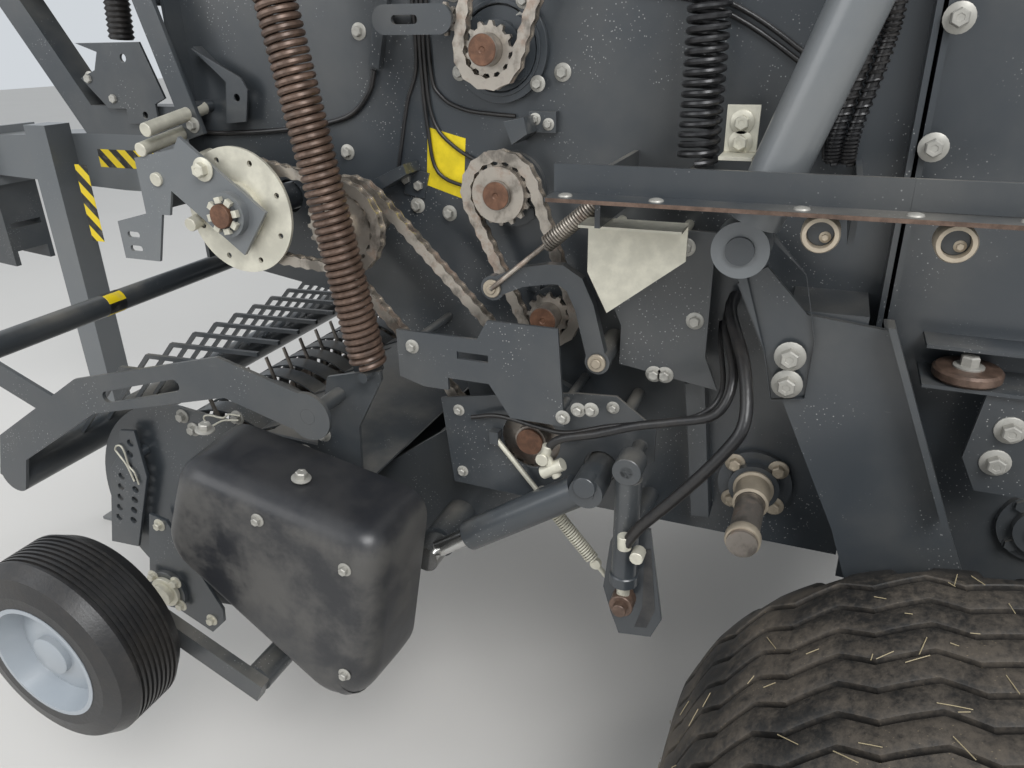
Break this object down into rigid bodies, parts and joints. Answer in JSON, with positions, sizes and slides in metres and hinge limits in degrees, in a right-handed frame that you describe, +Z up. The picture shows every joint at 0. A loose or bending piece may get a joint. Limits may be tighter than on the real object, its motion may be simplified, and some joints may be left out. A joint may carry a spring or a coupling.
{
  "type": "round baler",
  "caption": "Towed fixed-chamber round baler with a wide pickup, its left side door open over the chain drive, parked on its wheels and drawbar stand",
  "frame": {"origin": "on the ground, under the middle of the machine's bounding box", "axes": "+Z up, the drawbar points along -Y, the drive side (the machine's left) is +X"},
  "size_m": [2.55, 4.1999, 3.3989],
  "materials": {
    "paint_dark": "semi-gloss, dusty",
    "paint_grey": "semi-gloss, dusty",
    "bare_steel": "worn, greasy, light rust",
    "galvanised": "dull zinc",
    "rusty_steel": "surface rust",
    "chrome_rod": "polished",
    "black_plastic": "dusty",
    "red_lens": "clear gloss",
    "tyre_rubber": "dusty"
  },
  "bodies": {
    "chassis": {"side_wall_left": "paint_dark", "side_wall_right": "paint_dark", "front_frame": "paint_dark", "front_panels": "paint_dark", "drawbar": "paint_grey", "hitch_head": "paint_dark", "gearbox": "paint_dark", "stand_sleeve": "paint_grey", "axle": "paint_dark", "chamber_rollers": "bare_steel", "chamber_bearings": "bare_steel", "feed_floor": "paint_dark", "sprockets": "bare_steel", "chain_input": "bare_steel", "chain_rotor": "bare_steel", "chain_upper": "bare_steel", "chain_lower": "bare_steel", "chain_tensioners": "paint_dark", "clutch_disc": "galvanised", "drive_brackets": "paint_grey", "side_rails": "paint_dark", "outer_brackets": "paint_dark", "shield_plates": "paint_dark", "deflector": "galvanised", "relief_springs": "rusty_steel", "tension_spring": "paint_dark", "net_box": "paint_grey", "front_arms": "paint_dark"},
    "tailgate": {"tailgate_walls": "paint_dark", "tailgate_skin": "paint_dark", "tailgate_rollers": "bare_steel", "tailgate_bearings": "bare_steel", "rear_lamps": "red_lens"},
    "lift_barrel_left": {"lift_barrel_left": "paint_grey"},
    "lift_barrel_right": {"lift_barrel_right": "paint_grey"},
    "lift_rod_left": {"lift_rod_left": "chrome_rod"},
    "lift_rod_right": {"lift_rod_right": "chrome_rod"},
    "feed_rotor": {"feed_rotor": "bare_steel"},
    "pickup": {"pickup_frame": "paint_dark", "pickup_bands": "galvanised", "pickup_covers": "black_plastic"},
    "pickup_reel": {"pickup_reel": "bare_steel"},
    "windguard": {"windguard": "paint_dark", "windguard_rods": "paint_dark"},
    "dip_barrel_left": {"dip_barrel_left": "paint_dark"},
    "dip_barrel_right": {"dip_barrel_right": "paint_dark"},
    "dip_rod_left": {"dip_rod_left": "chrome_rod"},
    "dip_rod_right": {"dip_rod_right": "chrome_rod"},
    "gauge_wheel_left": {"gauge_wheel_left": "tyre_rubber"},
    "gauge_wheel_right": {"gauge_wheel_right": "tyre_rubber"},
    "wheel_left": {"tyre_left": "tyre_rubber", "rim_left": "galvanised"},
    "wheel_right": {"tyre_right": "tyre_rubber", "rim_right": "galvanised"},
    "stand_leg": {"stand_leg": "paint_grey"},
    "door_left": {"door_left": "paint_grey"},
    "door_right": {"door_right": "paint_grey"}
  },
  "joints": [
    {"name": "tailgate_hinge", "type": "hinge", "parent": "chassis", "child": "tailgate", "pos_m": [0, 0.985, 2.4], "axis": [1, 0, 0], "range_deg": [0, 60]},
    {"name": "lift_foot_left", "type": "hinge", "parent": "chassis", "child": "lift_barrel_left", "pos_m": [0.8, 0.965, 1.37], "axis": [1, 0, 0], "range_deg": [-2.2, 0.1]},
    {"name": "lift_stroke_left", "type": "slide", "parent": "lift_barrel_left", "child": "lift_rod_left", "axis": [0, 0.3253, 0.9456], "range_m": [0, 0.37]},
    {"name": "lift_foot_right", "type": "hinge", "parent": "chassis", "child": "lift_barrel_right", "pos_m": [-0.8, 0.965, 1.37], "axis": [1, 0, 0], "range_deg": [-2.2, 0.1]},
    {"name": "lift_stroke_right", "type": "slide", "parent": "lift_barrel_right", "child": "lift_rod_right", "axis": [0, 0.3253, 0.9456], "range_m": [0, 0.37]},
    {"name": "pickup_pivot", "type": "hinge", "parent": "chassis", "child": "pickup", "pos_m": [0, 0.615, 0.956], "axis": [1, 0, 0], "range_deg": [0, 25], "deforming": ["relief_springs"]},
    {"name": "dip_foot_left", "type": "hinge", "parent": "chassis", "child": "dip_barrel_left", "pos_m": [0.8, 0.751, 0.926], "axis": [1, 0, 0], "range_deg": [0, 20]},
    {"name": "dip_stroke_left", "type": "slide", "parent": "dip_barrel_left", "child": "dip_rod_left", "axis": [0, -0.8219, -0.5696], "range_m": [-0.051, 0]},
    {"name": "dip_foot_right", "type": "hinge", "parent": "chassis", "child": "dip_barrel_right", "pos_m": [-0.8, 0.751, 0.926], "axis": [1, 0, 0], "range_deg": [0, 20]},
    {"name": "dip_stroke_right", "type": "slide", "parent": "dip_barrel_right", "child": "dip_rod_right", "axis": [0, -0.8219, -0.5696], "range_m": [-0.051, 0]},
    {"name": "windguard_pivot", "type": "hinge", "parent": "pickup", "child": "windguard", "pos_m": [0, 0.248, 1.025], "axis": [-1, 0, 0], "range_deg": [0, 10]},
    {"name": "reel_turn", "type": "hinge", "parent": "pickup", "child": "pickup_reel", "pos_m": [0, -0.19, 0.66], "axis": [1, 0, 0], "continuous": true},
    {"name": "gauge_turn_left", "type": "hinge", "parent": "pickup", "child": "gauge_wheel_left", "pos_m": [1.1375, -0.21, 0.565], "axis": [1, 0, 0], "continuous": true},
    {"name": "gauge_turn_right", "type": "hinge", "parent": "pickup", "child": "gauge_wheel_right", "pos_m": [-1.1375, -0.21, 0.565], "axis": [1, 0, 0], "continuous": true},
    {"name": "rotor_turn", "type": "hinge", "parent": "chassis", "child": "feed_rotor", "pos_m": [0, 0.615, 0.956], "axis": [1, 0, 0], "continuous": true},
    {"name": "wheel_turn_left", "type": "hinge", "parent": "chassis", "child": "wheel_left", "pos_m": [1.025, 1.4, 0.466], "axis": [1, 0, 0], "continuous": true},
    {"name": "wheel_turn_right", "type": "hinge", "parent": "chassis", "child": "wheel_right", "pos_m": [-1.025, 1.4, 0.466], "axis": [1, 0, 0], "continuous": true},
    {"name": "stand_slide", "type": "slide", "parent": "chassis", "child": "stand_leg", "axis": [0, 0, 1], "range_m": [0, 0.45]},
    {"name": "door_left_hinge", "type": "hinge", "parent": "chassis", "child": "door_left", "pos_m": [0.72, 0.45, 2.4], "axis": [0, 1, 0], "range_deg": [0, 138]},
    {"name": "door_right_hinge", "type": "hinge", "parent": "chassis", "child": "door_right", "pos_m": [-0.72, 0.45, 2.4], "axis": [0, 1, 0], "range_deg": [0, 138]}
  ],
  "couplings": [
    {"joint": "lift_foot_left", "follows": "tailgate_hinge", "ratio": -0.035},
    {"joint": "lift_stroke_left", "follows": "tailgate_hinge", "m_per_rad": 0.3508},
    {"joint": "lift_foot_right", "follows": "tailgate_hinge", "ratio": -0.035},
    {"joint": "lift_stroke_right", "follows": "tailgate_hinge", "m_per_rad": 0.3508},
    {"joint": "dip_foot_left", "follows": "pickup_pivot", "ratio": 0.8},
    {"joint": "dip_stroke_left", "follows": "pickup_pivot", "m_per_rad": -0.1162},
    {"joint": "dip_foot_right", "follows": "pickup_pivot", "ratio": 0.8},
    {"joint": "dip_stroke_right", "follows": "pickup_pivot", "m_per_rad": -0.1162}
  ]
}
